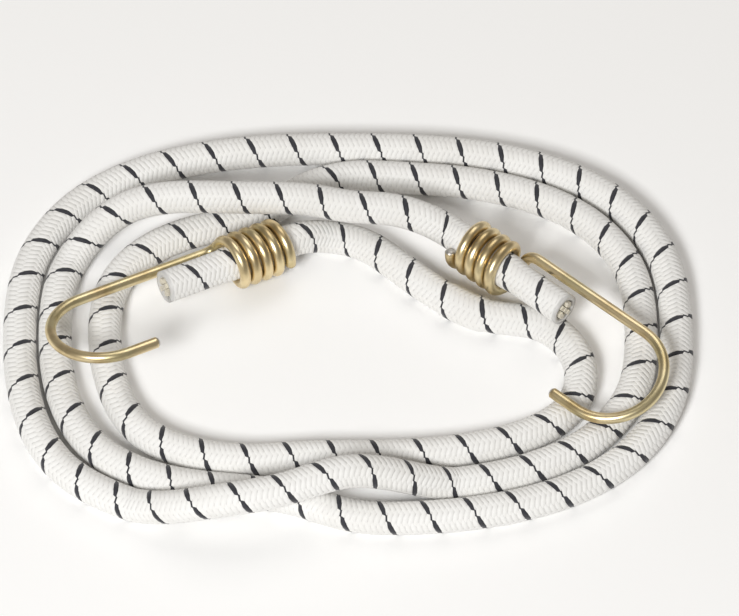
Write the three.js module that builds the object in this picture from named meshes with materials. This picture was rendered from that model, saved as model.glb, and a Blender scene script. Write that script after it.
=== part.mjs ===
// A bungee cord at its real size, in millimetres, +Z up: an elastic cord laid down in an oval coil of three
// turns, with a wire hook wound on each end. The coil rests on z = 0 and its length runs along X.
import * as THREE from 'three';

// Cord: a braided sheath, open at both ends, round one middle strand and a ring of six
const cordDiameter = 9;
const sheathWall = 1.3;
const sheathSides = 8;
const ringStrands = 6;
const strandGap = 0.2;
const footDepth = 0.1 * cordDiameter; // the cord is flat this deep where it lies on the ground

// Coil: an oval whose turns lie in lanes, counted inwards from the outer turn
const coilHalfLength = 89;
const coilHalfWidth = 61;
const coilSquareness = 2.6; // 2 is an ellipse, more is squarer
const laneGap = 0.6; // between turns that lie side by side
const bridgeGap = 1.5; // between a turn and the one that crosses over it
const stepsPerTurn = 24;
const coilStart = 90; // turn angles in degrees, counted on from turn to turn
const coilEnd = 1050;
const startLane = 3;
const laneChanges = [
  { span: [70, 125], lanes: -0.55 }, // the last turn laid drifts out
  { span: [125, 160], lanes: -1.45 }, // crosses towards the outside at the far left
  { span: [240, 280], lanes: -1 }, // and goes on to the outer lane at the near left
  { span: [600, 640], lanes: 1 }, // the outer turn comes in over it
  { span: [808, 852], lanes: 1.4 }, // and in again below the far left crossing
  { span: [905, 945], lanes: -0.34 },
];
const bulge = { rise: [190, 215], fall: [225, 262], lanes: 0.35 }; // the near left of every turn
const bridges = [
  { rise: [60, 80], fall: [140, 165] }, // the far left crossing
  { rise: [584, 606], fall: [634, 658] }, // the near left crossing
];
const returnRadius = 18.6; // of the arc in which the last turn comes back inside the coil
const returnTurn = 124;
const returnSteps = 5;

// Hooks: one round wire, wound round the cord end, then a straight shank and an open U bend
const wireDiameter = 3;
const wireSides = 8;
const windingTurns = 4.5;
const windingGap = 0.5; // between neighbouring turns of wire
const windingClearance = 0.45; // between the wire and the sheath
const stepsPerWinding = 12;
const shankBendRadius = 4; // where the wire leaves the winding
const shankBendSteps = 3;
const shankLength = 42;
const hookBendRadius = 14.4;
const hookBendSteps = 12;
const tipLength = 9;
const tipRound = 0.6;

// Cord ends: the middle of each winding, which way it points, and the route between it and the coil.
// Insets are measured from the coil's far side, so the ends keep their place beside its turns there.
const tailLength = 20; // cord that sticks out of the winding
const leadLength = 5; // straight cord before the winding
const rightEnd = {
  x: 37.8,
  inset: 42.4,
  floorGap: 3.5, // below the winding
  yaw: -42,
  tilt: 3,
  roll: 11,
  route: [[19.5, 30.2, 9.6], [10, 28, 10.4]], // x, inset and the rise above a turn on the ground
};
const leftEnd = {
  x: -25.5,
  inset: 39.5,
  floorGap: 0.8,
  yaw: 209,
  tilt: 7,
  roll: 198,
  route: [[38, 56.4, 0], [28.7, 52, 0], [20, 45.6, 0], [11.5, 38, 0], [2.8, 32, 0], [-6, 30.6, 0.9]],
};

const cordRadius = cordDiameter / 2;
const wireRadius = wireDiameter / 2;
const groundHeight = cordRadius - footDepth;
const lanePitch = cordDiameter + laneGap;
const bridgeRise = cordDiameter + bridgeGap;
const boreRadius = cordRadius - sheathWall;
const windingRadius = cordRadius + windingClearance + wireRadius;
const windingPitch = wireDiameter + windingGap;
const windingHalf = (windingTurns * windingPitch) / 2;
const up = new THREE.Vector3(0, 0, 1);

const radians = THREE.MathUtils.degToRad;
const smooth = (angle, [from, to]) => THREE.MathUtils.smoothstep(angle, from, to);

// The coil's centreline at a turn angle: an oval, drawn in by the lane and lifted where it crosses over.
function coilPoint(angle) {
  const out = bulge.lanes * (smooth(angle % 360, bulge.rise) - smooth(angle % 360, bulge.fall));
  const inset = laneChanges.reduce((sum, { span, lanes }) => sum + lanes * smooth(angle, span), startLane);
  const lane = inset - out;
  const lift = bridges.reduce((sum, { rise, fall }) => sum + smooth(angle, rise) - smooth(angle, fall), 0);
  const across = Math.abs(Math.cos(radians(angle))) / (coilHalfLength - lane * lanePitch);
  const along = Math.abs(Math.sin(radians(angle))) / (coilHalfWidth - lane * lanePitch);
  const reach = (across ** coilSquareness + along ** coilSquareness) ** (-1 / coilSquareness);
  return new THREE.Vector3(
    reach * Math.cos(radians(angle)),
    reach * Math.sin(radians(angle)),
    groundHeight + bridgeRise * lift,
  );
}

// The frame of a cord end, at the middle of its winding: +X runs along the cord and out to the hook.
function endFrame({ x, inset, floorGap, yaw, tilt, roll }) {
  const frame = new THREE.Group();
  frame.position.set(x, coilHalfWidth - inset, windingRadius + wireRadius + floorGap);
  frame.rotation.set(radians(roll), radians(-tilt), radians(yaw), 'ZYX');
  frame.updateMatrix();
  return frame;
}

// The cord's stretch from the coil through the winding to the cut end.
function endStretch(end) {
  const { matrix } = endFrame(end);
  const tailEnd = windingHalf + tailLength;
  const tailMiddle = (windingHalf + tailEnd) / 2;
  const marks = [-windingHalf - leadLength, -windingHalf, 0, windingHalf, tailMiddle, tailEnd];
  const straight = marks.map((mark) => new THREE.Vector3(mark, 0, 0).applyMatrix4(matrix));
  const route = end.route.map(
    ([x, inset, rise]) => new THREE.Vector3(x, coilHalfWidth - inset, groundHeight + rise),
  );
  return { route, straight };
}

// The last turn leaves the coil in a level arc to the inside.
function returnArc() {
  const start = coilPoint(coilEnd);
  const ahead = start.clone().sub(coilPoint(coilEnd - 1)).normalize();
  const inward = up.clone().cross(ahead);
  return Array.from({ length: returnSteps }, (_, i) => {
    const angle = radians((returnTurn * (i + 1)) / returnSteps);
    return start.clone()
      .addScaledVector(ahead, returnRadius * Math.sin(angle))
      .addScaledVector(inward, returnRadius * (1 - Math.cos(angle)));
  });
}

function cordCentreline() {
  const right = endStretch(rightEnd);
  const left = endStretch(leftEnd);
  const coil = [];
  for (let angle = coilStart; angle <= coilEnd; angle += 360 / stepsPerTurn) {
    coil.push(coilPoint(angle));
  }
  return [
    ...right.straight.reverse(),
    ...right.route,
    ...coil,
    ...returnArc(),
    ...left.route,
    ...left.straight,
  ];
}

function directions(points) {
  return points.map((point, i) => {
    const before = points[Math.max(i - 1, 0)];
    const after = points[Math.min(i + 1, points.length - 1)];
    return after.clone().sub(before).normalize();
  });
}

// Cross-section axes that keep the section upright along a line that never stands on end.
function uprightFrames(points) {
  return directions(points).map((ahead, i) => {
    const side = ahead.clone().cross(up).normalize();
    return { centre: points[i], side, over: side.clone().cross(ahead) };
  });
}

// Cross-section axes that turn as little as they can along any line.
function carriedFrames(points) {
  let side;
  return directions(points).map((ahead, i) => {
    side = i === 0 ? ahead.clone().cross(up) : side.clone().addScaledVector(ahead, -side.dot(ahead));
    side.normalize();
    return { centre: points[i], side: side.clone(), over: side.clone().cross(ahead) };
  });
}

const onSection = ({ centre, side, over }, [across, high]) =>
  centre.clone().addScaledVector(side, across).addScaledVector(over, high);

function polygon(sides, radius, startAngle = 0) {
  return Array.from({ length: sides }, (_, i) => {
    const angle = startAngle + (2 * Math.PI * i) / sides;
    return [radius * Math.cos(angle), radius * Math.sin(angle)];
  });
}

function meshGeometry(points, triangles) {
  const geometry = new THREE.BufferGeometry();
  const positions = points.flatMap((point) => point.toArray());
  geometry.setAttribute('position', new THREE.Float32BufferAttribute(positions, 3));
  geometry.setIndex(triangles.flat());
  geometry.computeVertexNormals();
  return geometry;
}

// Two triangles for each side of each step of a tube whose rings of points start at `first`.
function tubeSides(rings, sides, first, stride) {
  const triangles = [];
  for (let ring = 0; ring < rings - 1; ring += 1) {
    for (let i = 0; i < sides; i += 1) {
      const here = first + ring * stride + i;
      const next = first + ring * stride + ((i + 1) % sides);
      triangles.push([here, here + stride, next], [next, here + stride, next + stride]);
    }
  }
  return triangles;
}

const flipped = (triangles) => triangles.map(([a, b, c]) => [a, c, b]);

// A solid rod: rings of points, closed by a fan at each end.
function rodGeometry(rings) {
  const sides = rings[0].length;
  const last = (rings.length - 1) * sides;
  const fan = Array.from({ length: sides - 2 }, (_, i) => [0, i + 1, i + 2]);
  const endFan = flipped(fan).map((triangle) => triangle.map((corner) => corner + last));
  return meshGeometry(rings.flat(), [...tubeSides(rings.length, sides, 0, sides), ...fan, ...endFan]);
}

// A pipe: an outer and an inner ring of points at each station, closed by a flat band at each end.
function pipeGeometry(outerRings, innerRings) {
  const sides = outerRings[0].length;
  const stride = 2 * sides;
  const last = (outerRings.length - 1) * stride;
  const startBand = Array.from({ length: sides }, (_, i) => {
    const next = (i + 1) % sides;
    return [[i, next, sides + i], [sides + i, next, sides + next]];
  }).flat();
  const endBand = flipped(startBand).map((triangle) => triangle.map((corner) => corner + last));
  return meshGeometry(outerRings.flatMap((ring, i) => [...ring, ...innerRings[i]]), [
    ...tubeSides(outerRings.length, sides, 0, stride),
    ...flipped(tubeSides(outerRings.length, sides, sides, stride)),
    ...startBand,
    ...endBand,
  ]);
}

// The sheath: an eight-sided pipe with a side facing down, pressed flat on the ground.
function sheathGeometry(frames) {
  const turn = Math.PI / sheathSides;
  const outer = polygon(sheathSides, cordRadius, turn);
  const inner = polygon(sheathSides, boreRadius, turn);
  const pressed = (point) => point.setZ(Math.max(point.z, 0));
  return pipeGeometry(
    frames.map((frame) => outer.map((corner) => pressed(onSection(frame, corner)))),
    frames.map((frame) => inner.map((corner) => onSection(frame, corner))),
  );
}

// Half the side of the square strands: a ring of six that just fills the bore round a seventh.
function strandHalfSide(reach) {
  const wedge = Math.tan(Math.PI / ringStrands);
  const cornerGap = strandGap / (2 * Math.cos(Math.PI / ringStrands));
  const spread = 2 + 1 / wedge;
  const a = spread ** 2 + 1;
  const b = (2 * spread * cornerGap) / wedge;
  const c = (cornerGap / wedge) ** 2 - reach ** 2;
  return (Math.sqrt(b ** 2 - 4 * a * c) - b) / (2 * a);
}

// The seven square sections of the strands, each with a flat side towards the middle strand.
function strandSections() {
  const reach = boreRadius * Math.cos(Math.PI / sheathSides) - strandGap;
  const half = strandHalfSide(reach);
  const ringRadius = Math.sqrt(reach ** 2 - half ** 2) - half;
  const square = polygon(4, half * Math.SQRT2, Math.PI / 4);
  const ring = Array.from({ length: ringStrands }, (_, i) => {
    const [x, y] = [Math.cos((2 * Math.PI * i) / ringStrands), Math.sin((2 * Math.PI * i) / ringStrands)];
    return square.map(([u, v]) => [(ringRadius + u) * x - v * y, (ringRadius + u) * y + v * x]);
  });
  return [square, ...ring];
}

// The hook's wire along its middle: winding, bend on to the shank, shank, U bend and tip.
function wireCentreline() {
  const line = [];
  const shankOffset = Math.hypot(windingRadius, shankBendRadius);
  const leaveAngle = -Math.atan2(shankBendRadius, windingRadius);
  const windingSteps = Math.round(windingTurns * stepsPerWinding);
  for (let i = 0; i <= windingSteps; i += 1) {
    const left = windingTurns * (1 - i / windingSteps);
    const angle = leaveAngle - 2 * Math.PI * left;
    const along = windingHalf - left * windingPitch;
    line.push(new THREE.Vector3(along, windingRadius * Math.cos(angle), windingRadius * Math.sin(angle)));
  }
  const leave = line.at(-1);
  const tangent = new THREE.Vector3(0, -Math.sin(leaveAngle), Math.cos(leaveAngle));
  for (let i = 1; i <= shankBendSteps; i += 1) {
    const angle = (Math.PI / 2) * (i / shankBendSteps);
    const point = leave.clone().addScaledVector(tangent, shankBendRadius * Math.sin(angle));
    line.push(point.setX(point.x + shankBendRadius * (1 - Math.cos(angle))));
  }
  const shankEnd = windingHalf + shankLength;
  for (let i = 0; i <= hookBendSteps; i += 1) {
    const angle = Math.PI * (i / hookBendSteps);
    const across = shankOffset - hookBendRadius * (1 - Math.cos(angle));
    line.push(new THREE.Vector3(shankEnd + hookBendRadius * Math.sin(angle), across, 0));
  }
  const tip = line.at(-1);
  line.push(tip.clone().setX(tip.x - tipLength + tipRound), tip.clone().setX(tip.x - tipLength));
  return line;
}

// The wire's ends are rounded off: the first and last rings are smaller.
function hookGeometry(line) {
  const frames = carriedFrames(line);
  const rings = frames.map((frame, i) => {
    const radius = i === 0 || i === frames.length - 1 ? wireRadius - tipRound : wireRadius;
    return polygon(wireSides, radius).map((corner) => onSection(frame, corner));
  });
  return rodGeometry(rings);
}

// The least gap of a round line to itself, between points further apart along it than three diameters.
function leastGap(points, diameter) {
  const spacing = diameter / 4;
  const marks = [];
  let travelled = 0;
  for (let i = 0; i < points.length - 1; i += 1) {
    const length = points[i].distanceTo(points[i + 1]);
    const pieces = Math.ceil(length / spacing);
    for (let k = 0; k < pieces; k += 1) {
      const share = k / pieces;
      marks.push({ at: travelled + share * length, point: points[i].clone().lerp(points[i + 1], share) });
    }
    travelled += length;
  }
  let least = Infinity;
  marks.forEach((one, i) => {
    for (const other of marks.slice(i + 1)) {
      if (other.at - one.at > 3 * diameter) {
        least = Math.min(least, one.point.distanceTo(other.point) - diameter);
      }
    }
  });
  return { least, length: travelled };
}

function named(name, geometry, material) {
  const mesh = new THREE.Mesh(geometry, material);
  mesh.name = name;
  return mesh;
}

const braid = new THREE.MeshStandardMaterial({ color: 0xf1ede4, roughness: 0.9, metalness: 0 });
const rubber = new THREE.MeshStandardMaterial({ color: 0xd9c9a3, roughness: 0.7, metalness: 0 });
const platedSteel = new THREE.MeshStandardMaterial({ color: 0xc8a04e, roughness: 0.35, metalness: 1 });

const cordLine = cordCentreline();
const cordFrames = uprightFrames(cordLine);
const wireLine = wireCentreline();
for (const [what, line, diameter] of [['cord', cordLine, cordDiameter], ['wire', wireLine, wireDiameter]]) {
  const { least, length } = leastGap(line, diameter);
  console.log(`${what} ${length.toFixed(0)} mm long, least gap to itself ${least.toFixed(2)} mm`);
}

const group = new THREE.Group();
group.add(named('braided_sheath', sheathGeometry(cordFrames), braid));
strandSections().forEach((section, i) => {
  const rings = cordFrames.map((frame) => section.map((corner) => onSection(frame, corner)));
  group.add(named(`rubber_strand_${i + 1}`, rodGeometry(rings), rubber));
});
for (const [name, end] of [['right_hook', rightEnd], ['left_hook', leftEnd]]) {
  const frame = endFrame(end);
  frame.add(named(name, hookGeometry(wireLine), platedSteel));
  group.add(frame);
}

export default group;
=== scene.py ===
import bpy
import bmesh
import math
import numpy as np
from mathutils import Matrix, Vector


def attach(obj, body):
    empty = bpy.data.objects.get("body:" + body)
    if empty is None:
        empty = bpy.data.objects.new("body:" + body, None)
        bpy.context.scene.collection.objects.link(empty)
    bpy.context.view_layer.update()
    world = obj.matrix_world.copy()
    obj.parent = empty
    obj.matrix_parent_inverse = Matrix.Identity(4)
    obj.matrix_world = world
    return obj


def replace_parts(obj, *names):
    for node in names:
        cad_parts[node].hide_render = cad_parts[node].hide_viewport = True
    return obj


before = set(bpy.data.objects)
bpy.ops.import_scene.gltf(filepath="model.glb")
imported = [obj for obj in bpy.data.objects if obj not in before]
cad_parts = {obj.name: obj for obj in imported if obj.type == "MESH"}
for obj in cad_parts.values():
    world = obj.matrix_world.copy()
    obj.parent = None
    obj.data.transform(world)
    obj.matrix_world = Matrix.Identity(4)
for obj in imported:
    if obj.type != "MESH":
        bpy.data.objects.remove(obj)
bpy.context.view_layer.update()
scene = bpy.context.scene
scene.view_settings.view_transform = "Standard"
print("frame loaded:", len(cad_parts), "nodes")

# camera: looks along +Y from well above, through a long lens
shot = dict(elevation=55, distance=1.5, lookAt=(0.0058, 0.0097, 0.0), frameWidth=0.2015, sensor=36)


def placeCamera():
    tilt = math.radians(shot["elevation"])
    back = Vector((0, -math.cos(tilt), math.sin(tilt)))  # from the coil to the camera
    lens = bpy.data.cameras.new("shot")
    lens.sensor_width = shot["sensor"]
    lens.lens = shot["sensor"] * shot["distance"] / shot["frameWidth"]
    camera = bpy.data.objects.new("shot", lens)
    camera.location = Vector(shot["lookAt"]) + shot["distance"] * back
    camera.rotation_euler = (math.pi / 2 - tilt, 0, 0)
    scene.collection.objects.link(camera)
    scene.camera = camera


placeCamera()
print("camera placed")


# lines: every cord, strand and wire is a tube round a line of points
def reachAlong(line):
    # how far along the line each of its points is
    return np.concatenate([[0], np.cumsum(np.linalg.norm(np.diff(line, axis=0), axis=1))])


def spacedOut(line, step):
    # the same line with its points an even step apart
    reach = reachAlong(line)
    marks = np.linspace(0, reach[-1], round(reach[-1] / step) + 1)
    return np.column_stack([np.interp(marks, reach, line[:, axis]) for axis in range(3)])


def splineThrough(knots, step):
    # a natural cubic spline through the knots, with a bend at each knot that keeps it smooth
    at = reachAlong(knots)
    gaps = np.diff(at)
    slopes = np.diff(knots, axis=0) / gaps[:, None]
    system = np.eye(len(knots))
    for i in range(1, len(knots) - 1):
        system[i, i - 1:i + 2] = gaps[i - 1], 2 * (gaps[i - 1] + gaps[i]), gaps[i]
    ends = np.zeros((1, 3))
    bends = np.linalg.solve(system, np.vstack([ends, 6 * np.diff(slopes, axis=0), ends]))
    marks = np.linspace(0, at[-1], 4 * round(at[-1] / step))  # finer than the steps that are kept
    i = np.clip(np.searchsorted(at, marks, side="right") - 1, 0, len(gaps) - 1)
    gap, t = gaps[i, None], (marks - at[i])[:, None]
    start = slopes[i] - gap * (2 * bends[i] + bends[i + 1]) / 6
    line = knots[i] + t * start + t ** 2 * bends[i] / 2 + t ** 3 * (bends[i + 1] - bends[i]) / (6 * gap)
    return spacedOut(line, step)


def eased(line, reach):
    # each point moves to the mean of those up to `reach` steps away, so kinks become small bends
    padded = np.vstack([np.repeat(line[:1], reach, 0), line, np.repeat(line[-1:], reach, 0)])
    window = np.ones(2 * reach + 1) / (2 * reach + 1)
    soft = np.column_stack([np.convolve(padded[:, axis], window, "valid") for axis in range(3)])
    soft[:reach], soft[-reach:] = line[:reach], line[-reach:]
    return soft


def unit(vectors):
    return vectors / np.linalg.norm(vectors, axis=-1, keepdims=True)


def uprightSections(line):
    # side and upper direction of the section at each point, for a line that never stands on end
    ahead = unit(np.gradient(line, axis=0))
    side = unit(np.cross(ahead, (0, 0, 1)))
    return side, np.cross(side, ahead)


def carriedSections(line):
    # the same for any line: the section turns as little as it can
    ahead = unit(np.gradient(line, axis=0))
    side = np.zeros_like(line)
    side[0] = unit(np.cross(ahead[0], (0, 0, 1)))
    for i in range(1, len(line)):
        side[i] = unit(side[i - 1] - ahead[i] * side[i - 1].dot(ahead[i]))
    return side, np.cross(side, ahead)


def wrapTube(bm, line, sections, radius, sides):
    # a grid from 0 to 1 each way, rolled up round the line: its x runs along the line and its y round it
    last = len(line) - 1
    grid = bmesh.ops.create_grid(bm, x_segments=last, y_segments=sides, size=0.5,
                                 matrix=Matrix.Translation((0.5, 0.5, 0)), calc_uvs=True)["verts"]
    side, over = sections
    radius = np.broadcast_to(radius, len(line))
    for vert in grid:
        i, turn = round(vert.co.x * last), 2 * math.pi * vert.co.y
        vert.co = line[i] + radius[i] * (math.cos(turn) * side[i] + math.sin(turn) * over[i])
    bmesh.ops.remove_doubles(bm, verts=grid, dist=1e-7)  # closes the seam


def newShape():
    bm = bmesh.new()
    bm.loops.layers.uv.new("lay")
    return bm


def openEdges(bm):
    return [edge for edge in bm.edges if edge.is_boundary]


def closeEnds(bm):
    bmesh.ops.holes_fill(bm, edges=openEdges(bm))
    bmesh.ops.recalc_face_normals(bm, faces=bm.faces)


def asPiece(bm, name, body, material):
    mesh = bpy.data.meshes.new(name)
    bm.to_mesh(mesh)
    bm.free()
    mesh.shade_smooth()
    mesh.materials.append(material)
    piece = bpy.data.objects.new(name, mesh)
    scene.collection.objects.link(piece)
    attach(piece, body)
    return piece


# shader maths: a node's output, on which plain expressions add Math nodes
class Socket:
    def __init__(self, tree, output=None):
        self.tree, self.output = tree, output

    def node(self, kind, settings=None, values=None, out=0):
        made = self.tree.nodes.new(kind)
        for name, setting in (settings or {}).items():
            setattr(made, name, setting)
        for name, value in (values or {}).items():
            if isinstance(value, Socket):
                self.tree.links.new(value.output, made.inputs[name])
            else:
                made.inputs[name].default_value = value
        return Socket(self.tree, made.outputs[out] if made.outputs else None)

    def beside(self, out):
        return Socket(self.tree, self.output.node.outputs[out])

    def math(self, operation, *values):
        return self.node("ShaderNodeMath", dict(operation=operation), dict(enumerate(values)))

    def __add__(self, other):
        return self.math("ADD", self, other)

    def __sub__(self, other):
        return self.math("SUBTRACT", self, other)

    def __rsub__(self, other):
        return self.math("SUBTRACT", other, self)

    def __mul__(self, other):
        return self.math("MULTIPLY", self, other)

    def __pow__(self, other):
        return self.math("POWER", self, other)

    __radd__, __rmul__ = __add__, __mul__

    def wave(self):
        return self.math("COSINE", self)

    def ramp(self, low, high):
        # 0 up to `low`, 1 from `high` on, and a soft step between
        spread = {"Value": self, "From Min": low, "From Max": high}
        return self.node("ShaderNodeMapRange", dict(interpolation_type="SMOOTHSTEP"), spread)

    def mix(self, first, second):
        # the colour runs from first to second as this value runs from 0 to 1
        # sockets 6, 7 and 2 are the colours that go in and the one that comes out
        return self.node("ShaderNodeMix", dict(data_type="RGBA"), {0: self, 6: first, 7: second}, 2)


def finish(name, paint):
    material = bpy.data.materials.new(name)
    material.use_nodes = True
    material.node_tree.nodes.clear()
    start = Socket(material.node_tree)
    start.node("ShaderNodeOutputMaterial", values={"Surface": paint(start)})
    return material


def layOf(start):
    # how far along the piece and how far round it, both from 0 to 1
    lay = start.node("ShaderNodeUVMap", dict(uv_map="lay"))
    along = start.node("ShaderNodeSeparateXYZ", values={0: lay})
    return along, along.beside("Y")


def toNearEnd(along, length):
    return length * along.math("MINIMUM", along, 1 - along)


def mottle(start, scale, detail=3):
    place = start.node("ShaderNodeTexCoord", out="Object")
    return start.node("ShaderNodeTexNoise", values={"Vector": place, "Scale": scale, "Detail": detail})


def relief(start, height, distance):
    return start.node("ShaderNodeBump", values={"Height": height, "Distance": distance, "Strength": 1.0})


# the cord's ends: where each winding sits, which way it points, and the route between it and the coil
rightEnd = dict(place=(0.0378, 0.0186, 0.01145), yaw=-42, tilt=3, roll=11,
                route=[(0.0195, 0.0308, 0.0132), (0.010, 0.033, 0.014)])
leftEnd = dict(place=(-0.0255, 0.0215, 0.00875), yaw=209, tilt=7, roll=198,
               route=[(0.038, 0.0046, 0.0036), (0.0287, 0.009, 0.0036), (0.020, 0.0154, 0.0036),
                      (0.0115, 0.023, 0.0036), (0.0028, 0.029, 0.0036), (-0.006, 0.0304, 0.0045)])

# the hooks' sizes come first, because the cord runs straight through each winding
hook = dict(wire=0.003, turns=4.5, pitch=0.0035, windingRadius=0.00645, shankBend=0.004, shank=0.042,
            hookBend=0.0144, tip=0.009, rounding=0.0005, sides=20, step=0.0006, easing=2,
            windingPoints=400, shankPoints=30, hookPoints=90)
windingHalf = hook["turns"] * hook["pitch"] / 2

# angles run on from turn to turn, and lanes count inwards from the outer turn
cord = dict(diameter=0.009, bore=0.0032, length=1.408, ground=0.0036, halfLength=0.089, halfWidth=0.061,
            squareness=2.6, lanePitch=0.0096, bridgeRise=0.0105, startAngle=90, endAngle=1050, stepAngle=15,
            startLane=3, laneChanges=[(70, 125, -0.55), (125, 160, -1.45), (240, 280, -1), (600, 640, 1),
                                      (808, 852, 1.4), (905, 945, -0.34)],
            bulge=(190, 215, 225, 262, 0.35), bridges=[(60, 80, 140, 165), (584, 606, 634, 658)],
            returnRadius=0.0186, returnTurn=124, returnSteps=5, tail=0.020, lead=0.005,
            step=0.0012, sides=24, grip=0.00038, gripFade=0.004)


def smoothStep(value, low, high):
    t = np.clip((value - low) / (high - low), 0, 1)
    return t * t * (3 - 2 * t)


def coilPoint(angle):
    lane = cord["startLane"]
    lane += sum(lanes * smoothStep(angle, low, high) for low, high, lanes in cord["laneChanges"])
    a, b, c, d, lanes = cord["bulge"]
    lane -= lanes * (smoothStep(angle % 360, a, b) - smoothStep(angle % 360, c, d))
    lift = sum(smoothStep(angle, a, b) - smoothStep(angle, c, d) for a, b, c, d in cord["bridges"])
    x, y = math.cos(math.radians(angle)), math.sin(math.radians(angle))
    power = cord["squareness"]
    across = abs(x) / (cord["halfLength"] - lane * cord["lanePitch"])
    along = abs(y) / (cord["halfWidth"] - lane * cord["lanePitch"])
    reach = (across ** power + along ** power) ** (-1 / power)
    return reach * x, reach * y, cord["ground"] + cord["bridgeRise"] * lift


def endPlacing(end):
    yaw, tilt, roll = (math.radians(end[turn]) for turn in ("yaw", "tilt", "roll"))
    turned = Matrix.Rotation(yaw, 4, "Z") @ Matrix.Rotation(-tilt, 4, "Y") @ Matrix.Rotation(roll, 4, "X")
    return Matrix.Translation(end["place"]) @ turned


def endStretch(end):
    tailEnd = windingHalf + cord["tail"]
    marks = (-windingHalf - cord["lead"], -windingHalf, 0, windingHalf, (windingHalf + tailEnd) / 2, tailEnd)
    return [tuple(endPlacing(end) @ Vector((mark, 0, 0))) for mark in marks]


def returnArc():
    # the last turn leaves the coil in a level arc to the inside
    start = Vector(coilPoint(cord["endAngle"]))
    ahead = (start - Vector(coilPoint(cord["endAngle"] - 1))).normalized()
    inward = Vector((0, 0, 1)).cross(ahead)
    turns = np.linspace(0, math.radians(cord["returnTurn"]), cord["returnSteps"] + 1)[1:]
    radius = cord["returnRadius"]
    return [tuple(start + radius * (math.sin(turn) * ahead + (1 - math.cos(turn)) * inward))
            for turn in turns]


def cordLine():
    angles = range(cord["startAngle"], cord["endAngle"] + 1, cord["stepAngle"])
    coil = [coilPoint(angle) for angle in angles]
    first = [*endStretch(rightEnd)[::-1], *rightEnd["route"]]
    last = [*returnArc(), *leftEnd["route"], *endStretch(leftEnd)]
    smooth = splineThrough(np.array(first + coil + last), cord["step"])
    smooth[:, 2] = np.maximum(smooth[:, 2], cord["ground"])
    return smooth


line = cordLine()
cordSections = uprightSections(line)
insideLine = line[::2]  # every other point is enough for the bore and the core
insideSections = [axis[::2] for axis in cordSections]
cordLength = reachAlong(line)[-1]
print(f"cord line: {len(line)} points, {cordLength:.3f} m")


def gripSwell():
    # the cord fills the winding and swells a little on either side of it
    swell = np.zeros(len(line))
    for end in (rightEnd, leftEnd):
        offset = line - np.array(end["place"])
        along = np.abs(offset @ np.array(endPlacing(end).col[0][:3]))
        near = np.linalg.norm(offset, axis=1) < windingHalf + 2 * cord["gripFade"]
        swell += near * smoothStep(windingHalf + cord["gripFade"] - along, 0, cord["gripFade"])
    return cord["grip"] * swell


# the sheath: yarns wound both ways round the cord, each over two and under two, and one of them dark
braid = dict(yarns=8, pitch=0.0116, depth=0.00024, crown=2.2, dip=0.5, seam=0.03, tracerRise=0.75,
             tracerTaper=16, fibres=4, fibreRise=0.05, fuzz=0.06, fuzzScale=1400,
             yarn=(0.88, 0.87, 0.845, 1), soiled=(0.76, 0.74, 0.70, 1), stain=0.30, stainScale=55,
             stainEdge=(0.42, 0.72), yarnTone=0.16, otherSeed=20, fibreTone=0.05,
             tracer=(0.013, 0.013, 0.018, 1), worn=(0.05, 0.05, 0.06, 1), wornScale=900,
             # the recess colour is painted shade: the dark colour the yarns take where they dip low between
             # each other
             paintedShade=(0.42, 0.40, 0.37, 1), paintedShadeShare=0.5, paintedShadeEdge=(0.35, 0.95),
             melted=(0.58, 0.57, 0.55, 1), meltLength=0.0012, meltEdge=0.4, meltShare=0.8, meltFlat=0.7,
             roughness=0.82, topShine=0.08, meltShine=0.3)


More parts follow.
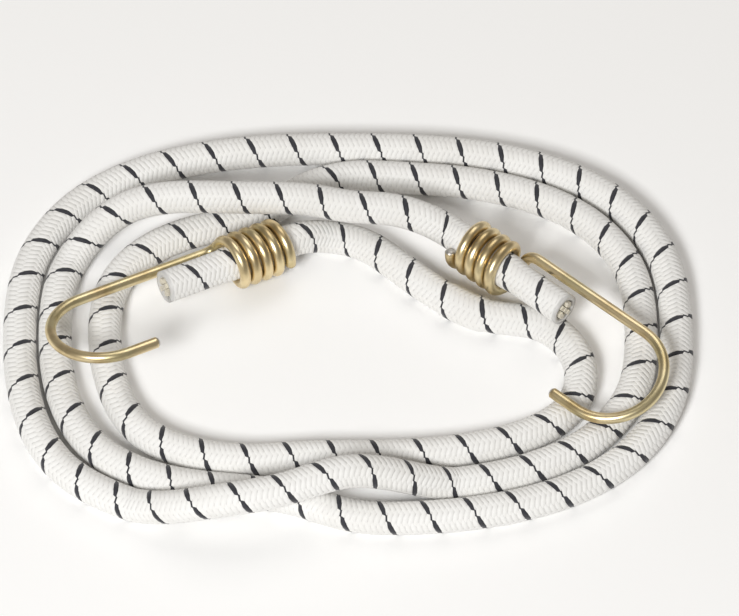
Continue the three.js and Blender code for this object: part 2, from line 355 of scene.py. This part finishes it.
def braidPaint(start):
    along, around = layOf(start)
    turns = along * (cordLength / braid["pitch"])
    one, other = (around + turns) * braid["yarns"], (around - turns) * braid["yarns"]
    oneYarn, otherYarn = one.math("ROUND", one), other.math("ROUND", other)
    number = oneYarn.math("FLOORED_MODULO", oneYarn, braid["yarns"])
    otherNumber = otherYarn.math("FLOORED_MODULO", otherYarn, braid["yarns"])
    tracer = number.math("LESS_THAN", number, 0.5)  # yarn 0 of one way

    # height of the yarns of each way: round across, and along them a wave over two crossings and under two
    rise = ((other + oneYarn - 0.5) * (math.pi / 2)).wave()
    otherRise = ((one + otherYarn - 0.5) * (math.pi / 2)).wave()
    across, otherAcross = (one - oneYarn) ** 2, (other - otherYarn) ** 2
    high = 1 - braid["crown"] * across + braid["dip"] * rise
    high = high + tracer * (braid["tracerRise"] - braid["tracerTaper"] * across ** 2)
    otherHigh = 1 - braid["crown"] * otherAcross - braid["dip"] * otherRise
    top = high.math("MAXIMUM", high, otherHigh)
    shown = (high - otherHigh).ramp(-braid["seam"], braid["seam"])
    ridges, otherRidges = ((way * (2 * math.pi * braid["fibres"])).wave() for way in (one, other))
    fibres = shown * ridges + (1 - shown) * otherRidges

    # every yarn has a tone of its own, stains lie over them all, and shade is painted into the recesses,
    # darker the lower the yarn surface
    tone, otherTone = (start.node("ShaderNodeTexWhiteNoise", dict(noise_dimensions="1D"), {"W": seed})
                       for seed in (number, otherNumber + braid["otherSeed"]))
    stains = mottle(start, braid["stainScale"]).ramp(*braid["stainEdge"])
    soil = braid["stain"] * stains + braid["yarnTone"] * (shown * tone + (1 - shown) * otherTone)
    white = (soil + braid["fibreTone"] * fibres).mix(braid["yarn"], braid["soiled"])
    dark = mottle(start, braid["wornScale"]).mix(braid["tracer"], braid["worn"])
    colour = (shown * tracer).mix(white, dark)
    # painted shade: the colour darkens where the yarns dip low, standing in for the shadow between them
    colour = (braid["paintedShadeShare"] * (1 - top.ramp(*braid["paintedShadeEdge"]))).mix(colour, braid["paintedShade"])

    # the cut ends are sealed with heat
    toEnd = toNearEnd(along, cordLength)
    melted = 1 - toEnd.ramp(braid["meltEdge"] * braid["meltLength"], braid["meltLength"])
    colour = (braid["meltShare"] * melted).mix(colour, braid["melted"])
    fuzz = mottle(start, braid["fuzzScale"], detail=2)
    height = top + braid["fibreRise"] * fibres + braid["fuzz"] * fuzz
    bump = relief(start, height * (1 - braid["meltFlat"] * melted), braid["depth"])
    roughness = braid["roughness"] - braid["topShine"] * top - braid["meltShine"] * melted
    return start.node("ShaderNodeBsdfPrincipled", values={
        "Base Color": colour, "Roughness": roughness, "Normal": bump,
        "Sheen Weight": 0.2, "Sheen Roughness": 0.5, "Specular IOR Level": 0.35})


braidFinish = finish("braid", braidPaint)


def makeCord():
    bm = newShape()
    wrapTube(bm, line, cordSections, cord["diameter"] / 2 + gripSwell(), cord["sides"])
    for vert in bm.verts:
        vert.co.z = max(vert.co.z, 0)  # pressed flat where it lies on the ground
    outerFaces = set(bm.faces)
    wrapTube(bm, insideLine, insideSections, cord["bore"], cord["sides"])
    bmesh.ops.reverse_faces(bm, faces=[face for face in bm.faces if face not in outerFaces])
    rims = openEdges(bm)
    for end in (line[0], line[-1]):
        pair = [edge for edge in rims if (edge.verts[0].co - Vector(end)).length < cord["diameter"]]
        bmesh.ops.bridge_loops(bm, edges=pair)
    return asPiece(bm, "braidedCord", "cord", braidFinish)


braidedCord = makeCord()
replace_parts(braidedCord, "braided_sheath")
print("cord made:", len(braidedCord.data.polygons), "faces")

# core: seven square rubber strands, one in the middle and six round it, whose ends stand out unevenly
core = dict(half=0.00066, ring=0.00201, ringStep=60,
            proud=[0.0003, 0, 0.0006, 0.0002, 0.0005, 0.0001, 0.0004],
            latex=(0.85, 0.79, 0.64, 1), aged=(0.62, 0.58, 0.50, 1), agedScale=300, agedEdge=(0.35, 0.75),
            pits=0.00008, pitScale=1600, roughness=0.45, pitRoughness=0.25)


def latexPaint(start):
    grain = mottle(start, core["pitScale"])
    colour = mottle(start, core["agedScale"]).ramp(*core["agedEdge"]).mix(core["latex"], core["aged"])
    return start.node("ShaderNodeBsdfPrincipled", values={
        "Base Color": colour, "Roughness": core["roughness"] + core["pitRoughness"] * grain,
        "Normal": relief(start, grain, core["pits"])})


latexFinish = finish("latex", latexPaint)


def makeStrand(number):
    bm = newShape()
    side, over = insideSections
    turn = math.radians(core["ringStep"] * (number - 1))
    offset = 0 if number == 0 else core["ring"]
    middle = insideLine + offset * (math.cos(turn) * side + math.sin(turn) * over)
    middle[0] += core["proud"][number] * unit(middle[0] - middle[1])
    middle[-1] += core["proud"][-1 - number] * unit(middle[-1] - middle[-2])
    lean = turn + math.pi / 4  # a flat side of the square faces the middle strand
    corner = math.cos(lean) * side + math.sin(lean) * over
    nextCorner = math.cos(lean) * over - math.sin(lean) * side
    wrapTube(bm, middle, (corner, nextCorner), core["half"] * math.sqrt(2), sides=4)
    closeEnds(bm)
    piece = asPiece(bm, f"rubberStrand{number + 1}", "cord", latexFinish)
    piece.data.shade_flat()
    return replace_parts(piece, f"rubber_strand_{number + 1}")


strands = [makeStrand(number) for number in range(len(core["proud"]))]
print("core made:", len(strands), "strands")

# hooks: one wire each, wound round the cord end, with a straight shank and an open bend
plating = dict(gold=(0.88, 0.73, 0.45, 1), deep=(0.55, 0.41, 0.20, 1), deepScale=140, deepEdge=(0.35, 0.75),
               green=(0.66, 0.65, 0.40, 1), greenShare=0.35, greenScale=75, greenEdge=(0.45, 0.65),
               steel=(0.52, 0.50, 0.47, 1), cutLength=0.0007, cutEdge=0.5,
               lineScale=14, lineStretch=6, lineDetail=4, lineEdge=(0.45, 0.6),
               scuffScale=520, scuffEdge=(0.63, 0.72), scuffShare=0.5, scuffRise=0.4, scratch=0.00002,
               roughness=0.22, lineRoughness=0.16, deepRoughness=0.08, bareRoughness=0.1)


def wirePaint(start):
    along, around = layOf(start)
    turn = around * (2 * math.pi)
    # lines from the drawing die run along the wire
    ring = start.node("ShaderNodeCombineXYZ", values={
        0: plating["lineScale"] * turn.wave(), 1: plating["lineScale"] * turn.math("SINE", turn),
        2: along * plating["lineStretch"]})
    lines = start.node("ShaderNodeTexNoise", values={
        "Vector": ring, "Scale": 1.0, "Detail": plating["lineDetail"]})
    cloud, tint = mottle(start, plating["deepScale"]), mottle(start, plating["greenScale"], detail=1)
    colour = cloud.ramp(*plating["deepEdge"]).mix(plating["gold"], plating["deep"])
    colour = (plating["greenShare"] * tint.ramp(*plating["greenEdge"])).mix(colour, plating["green"])

    # the plating is scuffed along these lines, and the cut ends are bare steel
    worn = mottle(start, plating["scuffScale"], detail=5).ramp(*plating["scuffEdge"])
    scuffs = worn * lines.ramp(*plating["lineEdge"])
    wireLength = hook["turns"] * 2 * math.pi * hook["windingRadius"] + hook["shank"]
    wireLength += math.pi * hook["hookBend"]
    toEnd = toNearEnd(along, wireLength)
    cut = 1 - toEnd.ramp(plating["cutEdge"] * plating["cutLength"], plating["cutLength"])
    bare = cut.math("MAXIMUM", cut, plating["scuffShare"] * scuffs)
    roughness = plating["roughness"] + plating["lineRoughness"] * lines + plating["deepRoughness"] * cloud
    return start.node("ShaderNodeBsdfPrincipled", values={
        "Base Color": bare.mix(colour, plating["steel"]), "Metallic": 1.0,
        "Roughness": roughness + plating["bareRoughness"] * bare,
        "Normal": relief(start, lines + plating["scuffRise"] * scuffs, plating["scratch"])})


platedFinish = finish("platedWire", wirePaint)


def wireLine():
    # in the winding's own frame: x along the cord, the shank on its +y side
    radius, leave = hook["windingRadius"], -math.atan2(hook["shankBend"], hook["windingRadius"])
    points = []
    for left in np.linspace(hook["turns"], 0, hook["windingPoints"]):
        angle = leave - 2 * math.pi * left
        ahead = windingHalf - left * hook["pitch"]
        points.append((ahead, radius * math.cos(angle), radius * math.sin(angle)))
    start = Vector(points[-1])
    for angle in np.linspace(0, math.pi / 2, hook["shankPoints"])[1:]:
        off = hook["shankBend"] * math.sin(angle)
        ahead = hook["shankBend"] * (1 - math.cos(angle))
        points.append(tuple(start + Vector((ahead, -off * math.sin(leave), off * math.cos(leave)))))
    shankEnd, offset = windingHalf + hook["shank"], math.hypot(radius, hook["shankBend"])
    for angle in np.linspace(0, math.pi, hook["hookPoints"]):
        across = offset - hook["hookBend"] * (1 - math.cos(angle))
        points.append((shankEnd + hook["hookBend"] * math.sin(angle), across, 0))
    points.append((shankEnd - hook["tip"], points[-1][1], 0))
    return eased(spacedOut(np.array(points), hook["step"]), hook["easing"])


def makeHook(name, end, node, body):
    placing = endPlacing(end)
    wire = np.array([tuple(placing @ Vector(point)) for point in wireLine()])
    reach = np.arange(len(wire)) * hook["step"]
    toEnd = np.minimum(reach, reach[-1] - reach)
    # the cut ends are rounded off with a file
    short = np.clip(hook["rounding"] - toEnd, 0, None)
    rounded = np.sqrt(np.clip(hook["rounding"] ** 2 - short ** 2, 0, None))
    radius = hook["wire"] / 2 - hook["rounding"] + rounded
    bm = newShape()
    wrapTube(bm, wire, carriedSections(wire), radius, hook["sides"])
    closeEnds(bm)
    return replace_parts(asPiece(bm, name, body, platedFinish), node)


rightHook = makeHook("rightHook", rightEnd, "right_hook", "right_hook_wire")
leftHook = makeHook("leftHook", leftEnd, "left_hook", "left_hook_wire")
print("hooks made:", len(rightHook.data.polygons), "faces each")

# floor: plain and pale
ground = dict(size=4, colour=(0.98, 0.975, 0.965, 1), roughness=0.8)


def floorPaint(start):
    return start.node("ShaderNodeBsdfPrincipled", values={
        "Base Color": ground["colour"], "Roughness": ground["roughness"]})


def makeFloor():
    bm = bmesh.new()
    bmesh.ops.create_grid(bm, x_segments=1, y_segments=1, size=ground["size"] / 2)
    mesh = bpy.data.meshes.new("floor")
    bm.to_mesh(mesh)
    bm.free()
    mesh.materials.append(finish("floor", floorPaint))
    floor = bpy.data.objects.new("floor", mesh)
    scene.collection.objects.link(floor)


makeFloor()

# light: a key from the front left, which lays the shadows behind the rows, and a wide fill from the back
lamps = [dict(name="key", place=(-0.4, -0.95, 1.0), aim=(0, 0.05, 0), size=0.38, watts=15.8,
              colour=(0.98, 0.99, 1)),
         dict(name="fill", place=(0.25, 0.75, 1.2), aim=(0, 0, 0), size=0.9, watts=4.8,
              colour=(1, 0.98, 0.95))]
room = dict(colour=(1, 0.95, 0.89, 1), strength=0.24)


def areaLight(name, place, aim, size, watts, colour):
    lamp = bpy.data.lights.new(name, "AREA")
    lamp.size, lamp.energy, lamp.color = size, watts, colour
    lit = bpy.data.objects.new(name, lamp)
    lit.location = place
    lit.rotation_euler = (Vector(aim) - Vector(place)).to_track_quat("-Z", "Y").to_euler()
    scene.collection.objects.link(lit)


def lightRoom():
    world = bpy.data.worlds.new("room")
    world.use_nodes = True
    background = world.node_tree.nodes["Background"]
    background.inputs["Color"].default_value = room["colour"]
    background.inputs["Strength"].default_value = room["strength"]
    scene.world = world


for lamp in lamps:
    areaLight(**lamp)
lightRoom()
print("floor and light set")
